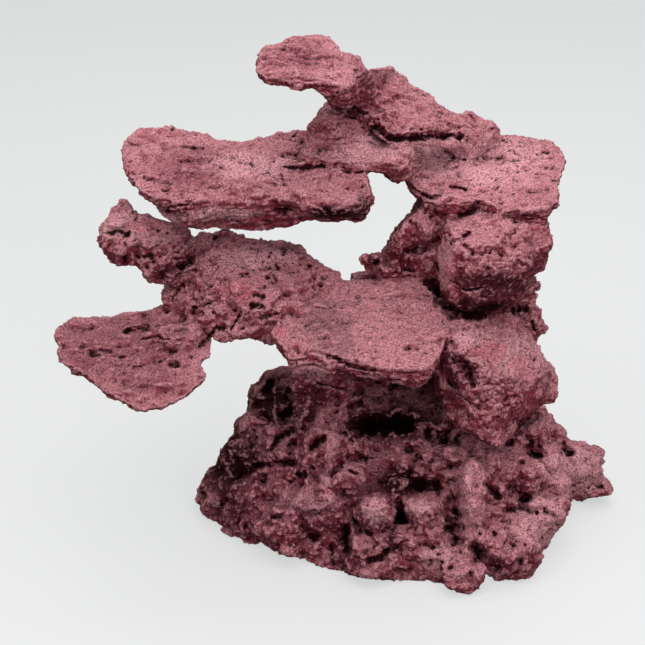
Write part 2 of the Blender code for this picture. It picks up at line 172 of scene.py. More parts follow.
def clouds(points, size, seed=0):
    """Rolling noise from about -1 to 1, with lumps of this size in millimetres."""
    place = points / (np.array(size) * MM) + seed * 17.31
    corner = np.floor(place).astype(int)
    part = place - corner
    fade = part**3 * (part * (part * 6 - 15) + 10)
    total = np.zeros(len(points))
    for step in STEPS:
        slope = SLOPES[draw(corner + step)]
        weight = np.where(step, fade, 1 - fade).prod(axis=1)
        total += weight * ((part - step) * slope).sum(axis=1)
    return 1.6 * total


def rough_clouds(points, size, seed=0, layers=3):
    """Clouds on clouds, each layer half the size and half the height."""
    return sum(clouds(points, np.array(size) / 2**i, seed + i) / 2**i for i in range(layers))


print("clouds at two points:", clouds(np.array([(0, 0, 0), (0.01, 0.02, 0.03)]), 15))

# %% Cells


def cells(points, size, seed=0):
    """How far each point is from the nearest and the second of many scattered centres, in cell
    sizes, with the random number from 0 to 1 that the nearest centre owns."""
    place = points / (np.array(size) * MM) + seed * 9.73
    home = np.floor(place).astype(int)
    nearest = np.full(len(points), 9.0)
    second = np.full(len(points), 9.0)
    owner = np.zeros(len(points), int)
    for step in AROUND:
        cell = home + step
        number = draw(cell)
        away = np.linalg.norm(place - cell - OFFSETS[number], axis=1)
        closer = away < nearest
        second = np.where(closer, nearest, np.minimum(second, away))
        owner[closer] = number[closer]
        nearest[closer] = away[closer]
    return nearest, second, owner / 255


def smooth_step(value, start, end):
    part = np.clip((value - start) / (end - start), 0, 1)
    return part * part * (3 - 2 * part)


print("cells at a point:", [float(part[0]) for part in cells(np.zeros((1, 3)), 9)])

# %% [markdown]
# ## One skin over all the rocks
# The real rocks are bonded and then coated, so the crust runs on from rock to rock without a seam.
# The scene does the same: all the faceted solids, with small lumps sunk into them, are fused into
# one skin by a voxel remesh. It is shared out among the rocks again at the end.

# %% Mesh helpers
SOLIDS = {name: node.data for name, node in frame["nodes"].items()}


def skin(mesh, cell):
    """One even skin of squares this many millimetres wide, as a new mesh."""
    thing = bpy.data.objects.new("skin", mesh)
    bpy.context.scene.collection.objects.link(thing)
    modifier = thing.modifiers.new("remesh", "REMESH")
    modifier.mode = "VOXEL"
    modifier.voxel_size = cell * MM
    bpy.context.view_layer.update()
    graph = bpy.context.evaluated_depsgraph_get()
    done = bpy.data.meshes.new_from_object(thing.evaluated_get(graph), depsgraph=graph)
    bpy.data.objects.remove(thing)
    return done


def points_of(mesh):
    flat = np.empty(len(mesh.vertices) * 3, np.float32)
    mesh.vertices.foreach_get("co", flat)
    return flat.reshape(-1, 3).astype(float)


def normals_of(mesh):
    flat = np.empty(len(mesh.vertices) * 3, np.float32)
    mesh.vertex_normals.foreach_get("vector", flat)
    return flat.reshape(-1, 3).astype(float)


def edges_of(mesh):
    flat = np.empty(len(mesh.edges) * 2, np.int32)
    mesh.edges.foreach_get("vertices", flat)
    return flat.reshape(-1, 2)


def move_points(mesh, points):
    points[:, 2] = np.maximum(points[:, 2], 0.0)
    mesh.vertices.foreach_set("co", points.astype(np.float32).ravel())
    mesh.update()


def smoothed(points, edges, passes, share=0.5):
    """Points drawn towards the middle of their neighbours, by one share or one for each point."""
    count = len(points)
    ends = np.concatenate((edges[:, 0], edges[:, 1]))
    others = np.concatenate((edges[:, 1], edges[:, 0]))
    valence = np.maximum(np.bincount(ends, minlength=count), 1)
    share = np.broadcast_to(share, count)
    for _ in range(passes):
        middle = [np.bincount(ends, column[others], count) / valence for column in points.T]
        points = points + (np.stack(middle, axis=1) - points) * share[:, None]
    return points


# %% [markdown]
# ## The kinds of stone
# Four kinds of stone make up the rockscape. Ledges are sheets of layered stone: sandy and terraced
# on top, torn in thin layers along the lip. Boulders are blocks with facets and coarse pores, and
# crags are rougher boulders. Rubble is a mass of knobs and deep holes. The same steps shape all
# four, with different heights.

# %% Heights of each kind, in millimetres
# bend and twist (slow and quick warp), knob (large cells), cave (large holes), terrace (steps on
# top), bud (small cells), pore (small holes), groove (torn lines), grain (fine roughness), layer
# (torn layers on a lip)
LEDGE = dict(
    bend=1.3, twist=1.3, knob=0.4, cave=0.0, terrace=1.2,
    bud=0.4, pore=0.3, groove=1.1, grain=1.0, layer=1.4,
)
BOULDER = dict(
    bend=1.8, twist=1.8, knob=1.2, cave=1.2, terrace=0.6,
    bud=0.6, pore=0.8, groove=1.3, grain=1.1, layer=0.6,
)
CRAG = BOULDER | dict(knob=2.3, cave=2.0, bud=1.0, pore=1.2, groove=1.6)
RUBBLE = dict(
    bend=3.0, twist=2.4, knob=3.4, cave=8.0, terrace=0.0,
    bud=1.1, pore=1.5, groove=1.1, grain=1.1, layer=0.2,
)

# kind, (number of lumps, smallest, largest radius in mm), rise of its layers along x and y
ROCKS = {
    "base_rock": (RUBBLE, (330, 3.0, 10.0), (0, 0)),
    "base_left_block": (BOULDER, (24, 3.0, 6.0), (0, 0)),
    "rear_pillar": (RUBBLE, (90, 3.0, 8.0), (0, 0)),
    "knobbly_rock": (RUBBLE, (110, 3.0, 8.0), (0, 0)),
    "right_lower_boulder": (BOULDER, (22, 3.0, 6.0), (0.5, 0.2)),
    "right_upper_boulder": (BOULDER, (26, 3.0, 6.5), (0.3, 0.2)),
    "left_arm_rock": (CRAG, (80, 3.0, 7.5), (0, 0.2)),
    "left_finger_rock": (CRAG, (34, 3.0, 6.0), (0, 0.2)),
    "centre_shelf": (LEDGE, (14, 3.0, 5.0), (0, 0.20)),
    "right_top_slab": (LEDGE, (26, 3.0, 5.0), (0, 0.23)),
    "bridge_slab": (LEDGE, (10, 3.0, 5.0), (0, 0.25)),
    "left_upper_shelf": (LEDGE, (46, 3.0, 5.5), (0, 0.27)),
    "crown_slab": (LEDGE, (24, 3.0, 5.0), (-0.5, 0.5)),
    "crown_tip_slab": (LEDGE, (12, 3.0, 4.5), (0, 0.20)),
    "left_plate": (LEDGE, (26, 3.0, 5.0), (0, 0.29)),
}
NAMES = list(ROCKS)
ROUGH_CELL, FINE_CELL = 2.2, 1.2
BOND_MM = 0.5

# %% Lumps sunk into the stone


def ball_mesh():
    bm = bmesh.new()
    bmesh.ops.create_icosphere(bm, subdivisions=2, radius=1)
    mesh = bpy.data.meshes.new("ball")
    bm.to_mesh(mesh)
    bm.free()
    return mesh


def sink_lumps(bm, rock, count, small, large, seed):
    """Balls at random spots of a rock, flattened and turned at random, half buried."""
    chance = np.random.default_rng(seed)
    area = np.array([face.area for face in rock.polygons])
    for i in chance.choice(len(area), size=count, p=area / area.sum()):
        face = rock.polygons[i]
        share = chance.dirichlet((1, 1, 1))
        spot = sum((rock.vertices[j].co * s for j, s in zip(face.vertices, share)), Vector())
        radius = small + (large - small) * chance.random() ** 2
        squash = chance.uniform(0.7, 1.2, size=3)
        turn = Matrix.Rotation(chance.uniform(0, 6.28), 4, Vector(chance.normal(size=3)))
        depth = chance.uniform(-0.6, 0.05) * radius
        if spot.z < radius * MM:
            continue
        at = Matrix.Translation(spot + face.normal * depth * MM)
        size = Matrix.Diagonal((*(radius * squash * MM), 1))
        lump = BALL.copy()
        lump.transform(at @ turn @ size)
        bm.from_mesh(lump)
        bpy.data.meshes.remove(lump)


BALL = ball_mesh()


def fused_rocks():
    """All the solids and lumps in one skin, swollen a little to close the gaps between them."""
    bm = bmesh.new()
    for seed, (name, (_, lumps, _)) in enumerate(ROCKS.items()):
        bm.from_mesh(SOLIDS[name])
        sink_lumps(bm, SOLIDS[name], *lumps, seed)
    bmesh.ops.remove_doubles(bm, verts=bm.verts, dist=1e-6)
    bm.normal_update()
    for vert in bm.verts:
        vert.co += vert.normal * BOND_MM * MM
    mesh = bpy.data.meshes.new("fused")
    bm.to_mesh(mesh)
    bm.free()
    return skin(mesh, ROUGH_CELL)


rough = fused_rocks()
print("rough skin:", len(rough.polygons), "squares")

# %% [markdown]
# ## Which rock a point belongs to
# Each point takes its kind of stone from the rocks near it, weighted by nearness, so that the
# surface changes over gradually at a joint. Near a joint the skin is also smoothed into a fillet,
# as the bonding mortar does it.

# %% Nearness to each rock
TREES = {name: BVHTree.FromPolygons(
    [vert.co for vert in mesh.vertices], [list(face.vertices) for face in mesh.polygons]
) for name, mesh in SOLIDS.items()}
REACH = 12 * MM


def distances(points):
    """How far each point is from every rock, up to the reach, in millimetres."""
    found = np.full((len(points), len(NAMES)), REACH)
    for column, name in enumerate(NAMES):
        low, high = np.array(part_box(name))
        inside = (points > low - REACH).all(axis=1) & (points < high + REACH).all(axis=1)
        for i in np.nonzero(inside)[0]:
            distance = TREES[name].find_nearest(points[i], REACH)[3]
            found[i, column] = REACH if distance is None else distance
    return found / MM


def settings_at(away):
    """Each height of the kinds of stone, and the direction of the layers, at every point."""
    weight = np.exp(-away / 2.5)
    weight /= weight.sum(axis=1, keepdims=True)
    heights = {key: weight @ np.array([ROCKS[name][0][key] for name in NAMES]) for key in LEDGE}
    rise = np.array([ROCKS[name][2] for name in NAMES])
    bed = weight @ np.column_stack((-rise[:, 0], -rise[:, 1], np.ones(len(NAMES))))
    return heights, bed / np.linalg.norm(bed, axis=1, keepdims=True)


# %% [markdown]
# ## Marks read from the photo
# The hollows and lumps that give this rock its face are listed as photo pixels: a line of
# points, half its width in pixels, and how far the stone is pressed in along the sight line in
# millimetres. A height below nothing is a lump, raised towards the eye.

# %% Marks on the foot
FOOT = [
    # left side and left block
    ([(256, 465), (272, 463), (292, 463)], 4, 9), ([(299, 475), (305, 475)], 4, 10),
    ([(273, 447), (277, 438), (293, 430)], 4, 9), ([(313, 446), (322, 439)], 4.5, 9),
    ([(238, 459), (244, 472), (248, 490)], 3, 5), ([(271, 516), (281, 516)], 3, 8),
    ([(225, 503), (230, 501)], 3, 7), ([(259, 518)], 3, 5), ([(296, 504)], 2.5, 4),
    ([(241, 513)], 2.5, 4), ([(246, 526)], 3, 6), ([(256, 527)], 2.5, 5),
    ([(302, 515), (304, 530)], 4, 4), ([(311, 533), (317, 536)], 5, 8), ([(318, 524)], 3.5, 5),
    ([(330, 545), (333, 552)], 3, 5), ([(346, 528), (347, 550)], 5, 12), ([(257, 497)], 2, 3),
    ([(208, 508), (215, 512)], 4, 3), ([(240, 468), (241, 480)], 5, 4),
    ([(312, 470), (318, 480)], 5, 4), ([(265, 390), (271, 382)], 4.5, 9), ([(257, 402)], 4, 7),
    ([(282, 416), (292, 410)], 5, 10), ([(262, 415), (266, 420)], 5, 8), ([(284, 398)], 4, 6),
    ([(290, 390)], 4, 5), ([(273, 384), (275, 400), (274, 412), (277, 424)], 2.5, -3),
    ([(260, 398)], 3, -3), ([(251, 400), (255, 388), (268, 377)], 3, -1.5), ([(240, 428)], 4, -4),
    ([(315, 385), (306, 410), (295, 430), (280, 455)], 5, -3), ([(285, 503), (330, 500)], 16, -5),
    ([(212, 505)], 11, -4), ([(238, 512), (233, 525), (245, 537)], 3, -3),
    ([(335, 435), (330, 465), (325, 490)], 12, -4),
    # middle, with the cave
    ([(366, 425), (405, 425)], 11, 22), ([(430, 435), (455, 440)], 8, 8),
    ([(344, 433), (353, 443)], 2.5, 6), ([(358, 453), (366, 458)], 3.5, 9),
    ([(351, 471), (357, 474)], 2.5, 7),
    ([(357, 503), (362, 494), (375, 489), (388, 492), (391, 503)], 3.5, 7), ([(355, 516)], 4.5, 9),
    ([(382, 522), (380, 527)], 1.8, 4), ([(371, 534), (366, 531)], 3.5, 8),
    ([(370, 560), (381, 559), (386, 551)], 3.5, 9),
    ([(393, 506), (402, 515), (402, 530), (398, 543)], 6, 12), ([(418, 485), (436, 487)], 8, 13),
    ([(420, 445)], 5, 5), ([(408, 450), (430, 470)], 6, 5), ([(455, 512), (460, 516)], 5, 10),
    ([(452, 500), (462, 500)], 4, 4), ([(450, 528), (455, 541)], 5, 9), ([(460, 551)], 2.8, 7),
    ([(438, 556)], 4, 4), ([(410, 562)], 6, 4), ([(452, 567)], 4, 4), ([(424, 545), (432, 548)], 3, 5),
    ([(366, 552)], 3, 5), ([(337, 411)], 3, 5), ([(375, 512), (375, 520)], 12, -2),
    ([(368, 505)], 2, 3), ([(380, 514)], 2, 3.5), ([(373, 522), (379, 524)], 2, 4),
    ([(421, 508)], 11, -2), ([(415, 503)], 2, 3), ([(426, 512)], 2, 4), ([(437, 506)], 8, -4),
    ([(434, 517)], 4, -2), ([(420, 530)], 10, -4),
    ([(412, 543)], 7, -3), ([(395, 560)], 9, -3),
    ([(443, 548), (452, 556), (445, 566), (434, 562), (436, 550)], 2.5, -3), ([(365, 574)], 8, -3),
    ([(402, 572)], 7, -2), ([(464, 587)], 5, -3), ([(403, 482)], 6, -3), ([(403, 465)], 6, -2),
    # right side
    ([(487, 485), (498, 497)], 3.5, 9), ([(512, 490), (524, 498)], 8, 8),
    ([(506, 509), (513, 510)], 3.5, 9), ([(516, 507), (537, 512)], 3, 6), ([(480, 534)], 2.6, 7),
    ([(494, 534)], 3, 8), ([(474, 545), (478, 553), (476, 560)], 4, 10), ([(470, 574)], 3, 6),
    ([(531, 444), (531, 454), (538, 455)], 4.5, 12), ([(523, 463)], 3.5, 5),
    ([(517, 431), (527, 420), (542, 413)], 5, 12), ([(527, 437)], 3, 8), ([(547, 436)], 3, 5),
    ([(505, 445), (512, 441)], 3, 4), ([(563, 452), (572, 453)], 4, 8), ([(563, 443)], 3, 4),
    ([(556, 503), (560, 497)], 4, 6), ([(557, 525)], 4, 5), ([(541, 538)], 2, 4),
    ([(520, 563), (526, 558)], 4, 5), ([(510, 522)], 3, 4), ([(590, 487), (600, 490)], 6, 4),
    ([(600, 475)], 3, 3), ([(466, 474), (472, 505), (473, 538)], 12, -9),
    ([(447, 476), (462, 471)], 5, -4), ([(490, 554), (498, 554)], 4, -3), ([(533, 430)], 6, -3),
]

# %% Marks on the left rocks
LEFT = [
    # finger rock
    ([(109, 234), (117, 233)], 3, 6), ([(119, 232), (128, 236)], 3, 5),
    ([(125, 242), (126, 246)], 2.5, 4), ([(133, 213), (136, 218)], 2, 4), ([(138, 257)], 3, 5),
    ([(143, 256), (151, 255)], 3, 7), ([(153, 261)], 2.5, 5), ([(147, 265)], 3, 4),
    ([(124, 258), (125, 263)], 5, 5), ([(180, 267), (190, 260)], 3.5, 8),
    ([(172, 259), (190, 258)], 2, 4), ([(160, 257)], 2, 4), ([(158, 231)], 2, 3), ([(167, 234)], 2, 3),
    ([(131, 248), (134, 262)], 2, -1.5),
    # arm rock
    ([(253, 306), (262, 307)], 4.5, 6), ([(255, 296), (263, 297)], 2.5, 6),
    ([(241, 313), (236, 321), (231, 330)], 2.2, 6), ([(211, 335), (216, 329), (224, 328)], 3, 8),
    ([(241, 277), (247, 275)], 3, 6), ([(267, 278)], 2.5, 6), ([(273, 275), (276, 281)], 1.3, 3),
    ([(265, 286)], 2, 3), ([(310, 267)], 2.8, 8), ([(306, 270)], 2.5, 5),
    ([(271, 252), (269, 257)], 1.3, 4), ([(284, 250), (287, 249)], 3, 6), ([(283, 254)], 2, 4),
    ([(300, 265)], 2, 4), ([(287, 274), (296, 273)], 1.2, 3), ([(276, 264), (279, 270)], 2, 4),
    ([(245, 251)], 2, 3), ([(258, 250), (257, 257)], 2, 3), ([(228, 254)], 1.5, 3),
    ([(216, 237)], 3, 2.5), ([(195, 309)], 3, 5), ([(202, 314)], 3.5, 6), ([(208, 306)], 3, 5),
    ([(214, 313)], 2.5, 5), ([(212, 302)], 2, 3), ([(221, 296)], 2, 4), ([(235, 311)], 2.5, 4),
    ([(249, 313)], 2, 4), ([(270, 316), (278, 314)], 1.8, 4), ([(260, 318), (268, 316)], 3, 4),
    ([(243, 328)], 2, 4), ([(318, 265)], 6, -3), ([(238, 236)], 3.5, -3), ([(218, 232)], 8, -2),
    ([(258, 301)], 2.5, -2),
    # plate
    ([(127, 330), (140, 327), (147, 329)], 3.6, 6), ([(124, 332), (135, 332)], 2, 5),
    ([(142, 339), (149, 338), (158, 336), (163, 339), (170, 339)], 1.2, 5), ([(82, 344)], 4, 3),
    ([(90, 352), (97, 354)], 3, 3), ([(100, 350), (112, 350)], 2.5, 3), ([(72, 334)], 5, 2),
    ([(122, 356)], 4, 2.5), ([(134, 368), (143, 367)], 2.5, 4), ([(160, 361)], 2.5, 3),
    ([(170, 352), (178, 351)], 2, 3), ([(160, 349)], 2, 2.5), ([(183, 367), (190, 367)], 2.5, 3),
    ([(170, 364), (178, 365)], 3, 4), ([(192, 358)], 2, 4), ([(175, 374)], 2.5, 4),
    ([(188, 375)], 2, 4), ([(181, 392)], 4, 2), ([(176, 330)], 4, 4), ([(176, 318), (180, 330)], 8, 3),
    ([(150, 384), (190, 382)], 3, -2), ([(160, 305), (161, 320), (163, 333)], 3, -2),
]

# %% Marks on the upper slabs
UPPER = [
    # left upper shelf, top
    ([(133, 146), (140, 148), (147, 146)], 2.5, 3), ([(131, 162)], 2.5, 4),
    ([(145, 178), (151, 180)], 2.5, 4), ([(161, 175)], 2.5, 3), ([(162, 190), (167, 193)], 1.8, 4),
    ([(139, 166)], 2, 2), ([(173, 128), (171, 133)], 1.8, 4), ([(180, 147), (196, 148)], 2, 4),
    ([(203, 149)], 2, 3), ([(189, 161)], 1.5, 3), ([(180, 163)], 2.5, 2), ([(220, 168)], 1.5, 3),
    ([(219, 177)], 1.8, 3), ([(232, 157), (240, 160)], 1, 3), ([(241, 163), (252, 163)], 2.5, 4),
    ([(217, 155)], 1.5, 2), ([(285, 167), (303, 168), (324, 167)], 3.2, 7),
    ([(300, 173), (308, 173)], 2, 4), ([(281, 174), (284, 185)], 1.3, 4), ([(274, 162)], 1.5, 4),
    ([(262, 174), (270, 175)], 2, 4), ([(253, 175), (257, 176)], 1, 2.5),
    ([(254, 187), (262, 188)], 1, 3), ([(265, 184), (276, 185)], 1.5, 3),
    ([(297, 183), (309, 182)], 1.2, 3), ([(318, 183), (321, 182)], 1, 2.5),
    ([(296, 135), (291, 139)], 1.3, 4), ([(305, 125)], 2.5, 4), ([(304, 141)], 1.5, 2.5),
    ([(310, 147)], 1.3, 2),
    # left upper shelf, front and under the bridge
    ([(166, 205), (173, 207), (186, 205)], 1.5, 5), ([(168, 212)], 3, 4),
    ([(186, 214), (192, 217)], 1.2, 3), ([(204, 212), (206, 217)], 2.5, 4), ([(215, 214)], 2, 4),
    ([(232, 220), (240, 222)], 2, 4), ([(335, 165), (350, 171)], 3, 4),
    ([(356, 173), (362, 172)], 2, 6), ([(345, 189), (348, 189)], 1.5, 3),
    ([(327, 192), (329, 195)], 1.5, 3), ([(341, 195)], 2, 3), ([(353, 191)], 1.5, 3),
    ([(362, 187)], 2, 3), ([(274, 207), (281, 211), (287, 210)], 5, 3.5),
    ([(265, 222), (290, 222)], 5, 3), ([(300, 219)], 3, 6), ([(325, 208), (330, 214)], 4, 5),
    ([(322, 211)], 3, 6), ([(338, 212), (343, 211)], 2.5, 5), ([(333, 220)], 3, 4),
    # tip, crown and bridge
    ([(323, 85)], 1.3, 4), ([(337, 93)], 1.5, 5), ([(326, 93)], 3, 3), ([(333, 97)], 2, 4),
    ([(355, 71)], 1.8, 5), ([(328, 105), (338, 109), (350, 114)], 3.2, 6),
    ([(345, 117), (356, 119)], 2.5, 6), ([(348, 112)], 2, 6), ([(359, 111), (368, 115)], 2.5, 6),
    ([(349, 108)], 4, -2), ([(375, 128), (383, 131)], 3.5, 9), ([(378, 120)], 4, 3),
    ([(353, 134)], 2.5, 5), ([(335, 131)], 2, 3), ([(321, 115), (316, 118)], 2, 4),
    ([(364, 123)], 2, 2.5), ([(335, 110), (335, 132)], 2, -1.5),
    # right top slab
    ([(388, 136), (400, 139), (420, 138), (440, 137), (452, 135), (462, 138)], 3.2, 10),
    ([(421, 130), (422, 135)], 1.5, 7), ([(395, 140)], 3, 5), ([(431, 106)], 1.5, 4),
    ([(466, 142)], 2.5, 3), ([(503, 141), (507, 143)], 2, 4), ([(520, 143)], 2, 3),
    ([(510, 151), (515, 155)], 2, 4), ([(543, 152), (548, 153)], 2, 4), ([(537, 155)], 1.5, 3),
    ([(513, 160), (520, 162)], 1.2, 3), ([(450, 158), (466, 160)], 1.2, 2.5), ([(492, 166)], 1.2, 3),
    ([(502, 175), (512, 174)], 1.2, 2.5), ([(514, 178)], 1, 2),
    ([(450, 187), (460, 188), (465, 190)], 1.6, 6), ([(424, 195), (432, 198), (440, 196)], 2.8, 6),
    ([(447, 199), (453, 198)], 1.5, 3), ([(513, 195)], 1.5, 3), ([(552, 181), (560, 181)], 1.2, 6),
    ([(456, 216), (472, 209), (478, 203)], 3, 4),
]

# %% Marks on the right and middle rocks
RIGHT_SIDE = [
    # upper boulder and the gap under it
    ([(441, 232), (448, 234), (453, 240), (451, 244)], 2.5, 8),
    ([(453, 242), (462, 239), (469, 234)], 2.5, 8), ([(446, 225)], 3, 5),
    ([(464, 246), (470, 250), (472, 254)], 2.5, 5), ([(460, 288), (470, 290), (478, 288)], 2, 6),
    ([(456, 283), (462, 288)], 1.5, 4), ([(481, 296), (489, 298)], 1.5, 4), ([(507, 295)], 2.5, 4),
    ([(465, 302)], 6, 3), ([(498, 237)], 2, 4), ([(510, 239)], 2, 3), ([(525, 240)], 3, 3),
    ([(530, 258)], 2.5, 3), ([(515, 247)], 2, 3), ([(476, 268)], 6, 2.5),
    ([(490, 235), (512, 256), (530, 264), (538, 267)], 2.5, -2), ([(448, 262), (452, 272)], 6, -3),
    ([(525, 226)], 6, -2), ([(553, 243)], 6, -2), ([(436, 289), (440, 297)], 2, 8),
    ([(440, 296), (447, 307), (454, 314), (470, 315), (490, 309), (510, 307)], 6, 14),
    ([(480, 308), (495, 306)], 4, 10),
    # knobbly rock and rear pillar
    ([(402, 228)], 7, -3), ([(428, 232), (427, 245)], 11, -3), ([(392, 262)], 9, -3),
    ([(405, 250), (422, 252)], 4, 5), ([(410, 222)], 2, 5), ([(395, 272)], 6, 5), ([(377, 262)], 3, 7),
    ([(405, 269), (414, 271)], 2, 4), ([(427, 274), (427, 279)], 2.5, 5),
    ([(436, 262), (441, 276)], 1.5, 4), ([(532, 290)], 8, -3), ([(533, 308)], 6, -3),
    ([(537, 323)], 6, -3), ([(517, 310), (526, 309)], 3, 9), ([(532, 322), (534, 330)], 2, 7),
    # centre shelf
    ([(328, 357), (336, 358), (348, 365), (360, 368), (375, 371)], 2.4, 8),
    ([(337, 370), (347, 373)], 1.3, 4), ([(324, 366)], 2, 3), ([(305, 357)], 3, 3),
    ([(298, 353)], 2, 3), ([(345, 376), (365, 374), (370, 380), (385, 383)], 1.2, 2.5),
    ([(380, 380), (402, 379)], 1.5, 4), ([(318, 383), (330, 386), (345, 390)], 1.8, 6),
    ([(447, 333), (444, 345), (445, 351)], 2, 5), ([(316, 308), (325, 309)], 1, 3),
    ([(330, 308), (334, 306)], 1.5, 4), ([(300, 300), (306, 301)], 1, 2.5), ([(443, 321)], 2, 3),
    ([(409, 313)], 1.5, 2.5), ([(372, 348), (378, 355), (390, 362)], 1.2, 2), ([(432, 363)], 1.5, 3),
    ([(366, 292)], 3, 1.5), ([(349, 292)], 1.5, 2),
    # lower boulder
    ([(458, 362), (470, 370), (472, 382)], 7, 6), ([(449, 382), (455, 388)], 3, 5),
    ([(470, 405), (488, 428)], 1.2, 3), ([(478, 418), (487, 428)], 1, 3),
    ([(460, 395), (480, 410)], 1.5, 3), ([(498, 417)], 1.8, 4),
    ([(504, 402), (507, 397), (514, 396), (518, 397)], 1.5, 4), ([(508, 405)], 2, 3),
    ([(512, 404)], 6, -2), ([(520, 358)], 2, 2.5), ([(463, 335)], 2, 4), ([(498, 344)], 1.5, 2),
    ([(505, 442)], 3, 3), ([(530, 345), (537, 370), (540, 395), (553, 400)], 2, -1.5),
    ([(476, 358), (500, 392)], 2, -1.5),
]


def as_marks(rows):
    """Each mark with the distance ahead of the camera at which the stone carries it."""
    marks = []
    for line, half, depth in rows:
        line = np.array(line, float).reshape(-1, 2)
        spot = spot_on_stone(*line.mean(axis=0)) or spot_on_stone(*line[0])
        if spot:
            ahead = float((np.array(spot[0]) - np.array(EYE)) @ AHEAD)
            marks.append((line if len(line) > 1 else np.repeat(line, 2, axis=0), half, depth, ahead))
    return marks


WIDE_HALF, THINNEST_HALF = 3.0, 1.5
THIN_SHARE = 0.5
MARKS = as_marks(FOOT + LEFT + UPPER + RIGHT_SIDE)
WIDE_MARKS = [mark for mark in MARKS if mark[1] >= WIDE_HALF]
THIN_MARKS = [
    (line, max(half, THINNEST_HALF), THIN_SHARE * depth, ahead)
    for line, half, depth, ahead in MARKS if half < WIDE_HALF
]
print(len(WIDE_MARKS), "wide and", len(THIN_MARKS), "thin marks found their place on the stone")

# %% Press and raise
PIXEL_MM = 0.73


def gap_to_line(across, down, line):
    """How many pixels each point is from a line of points."""
    gap = np.full(len(across), 1e9)
    at = np.stack((across, down), axis=1)
    for start, end in zip(line[:-1], line[1:]):
        along = end - start
        share = ((at - start) @ along) / max(along @ along, 1e-9)
        foot = start + np.clip(share, 0, 1)[:, None] * along
        gap = np.minimum(gap, np.linalg.norm(at - foot, axis=1))
    return gap


def press_marks(points, marks):
    """Push the points of every mark away from the eye, or towards it. Also how far in each went."""
    across, down, ahead = seen_at(points)
    ragged = 1 + 0.4 * clouds(points, 13, 2) + 0.45 * clouds(points, 6, 3) + 0.4 * clouds(points, 3, 4)
    hollow, lump = np.zeros(len(points)), np.zeros(len(points))
    for line, half, depth, place in marks:
        low, high = line.min(axis=0) - 2 * half, line.max(axis=0) + 2 * half
        near = (across > low[0]) & (across < high[0]) & (down > low[1]) & (down < high[1])
        near &= np.abs(ahead - place) < (5 + abs(depth) + half * PIXEL_MM) * MM
        where = np.nonzero(near)[0]
        gap = gap_to_line(across[where], down[where], line) / (half * ragged[where])
        if depth > 0:
            deep = depth * (1 - smooth_step(gap, 0.2, 1.3)) * np.clip(ragged[where], 0.3, 1)
            hollow[where] = np.maximum(hollow[where], deep)
        else:
            lump[where] = np.minimum(lump[where], depth * (1 - smooth_step(gap, 0.1, 1.2)))
    pressed = hollow + lump
    return points + sight_to(points) * pressed[:, None] * MM, pressed


# %% [markdown]
# ## Weathering
# The coarse pass warps the rough skin, raises knobs, sinks caves and presses the wide marks. The
# fine pass works on a new, finer skin: terraces, torn layers, buds, pores, grain and thin marks.

# %% The coarse pass
FILLET_MM = (1.5, 7)
KNOB_MM, CAVE_MM = 14, (22, 20, 16)
BEND_MM, TWIST_MM = 24, 9


def warp(points, size, height, seed):
    """Bend space itself by noise, so that ridges lean and hollows undercut."""
    moved = [clouds(points, size, seed + 5 * axis) for axis in range(3)]
    return points + np.stack(moved, axis=1) * np.reshape(height, (-1, 1)) * MM


def weather_coarse(mesh):
    points = points_of(mesh)
    away = distances(points)
    height, _ = settings_at(away)
    joint = 1 - smooth_step(np.sort(away, axis=1)[:, 1], *FILLET_MM)
    points = smoothed(points, edges_of(mesh), 8, 0.5 * joint)
    points = smoothed(points, edges_of(mesh), 2)
    move_points(mesh, points)
    normals = normals_of(mesh)
    nearest, second, _ = cells(warp(points, 10, 4.0, 2), KNOB_MM, 1)
    knob = (0.5 - nearest) + 0.5 * smooth_step(second - nearest, 0, 0.25)
    middle, _, lot = cells(warp(points, 12, 6.0, 7), CAVE_MM, 9)
    cave = (1 - smooth_step(middle, 0.12, 0.45)) * smooth_step(lot, 0.45, 0.65)
    raised = height["knob"] * knob - height["cave"] * cave - BOND_MM
    points = points + normals * raised[:, None] * MM
    points = warp(points, BEND_MM, height["bend"], 21)
    points = warp(points, TWIST_MM, height["twist"], 22)
    move_points(mesh, press_marks(points, WIDE_MARKS)[0])


weather_coarse(rough)
stone = skin(rough, FINE_CELL)
print("fine skin:", len(stone.polygons), "squares")

# %% The fine pass
STEP_MM, ROLL_MM = 2.0, (42, 20, 20)
BUD_MM, PORE_MM, LAYER_MM = 4.5, (7, 6, 5), 3.4
GRAIN_SIZES_MM, GROOVE_MM = (2.9, 4.6), (14, 4.5, 4.5)


def terraced(height, step):
    """A height turned into flat steps with short risers."""
    place = height / step
    whole = np.floor(place)
    return step * (whole + smooth_step(place - whole, 0.6, 1.0))


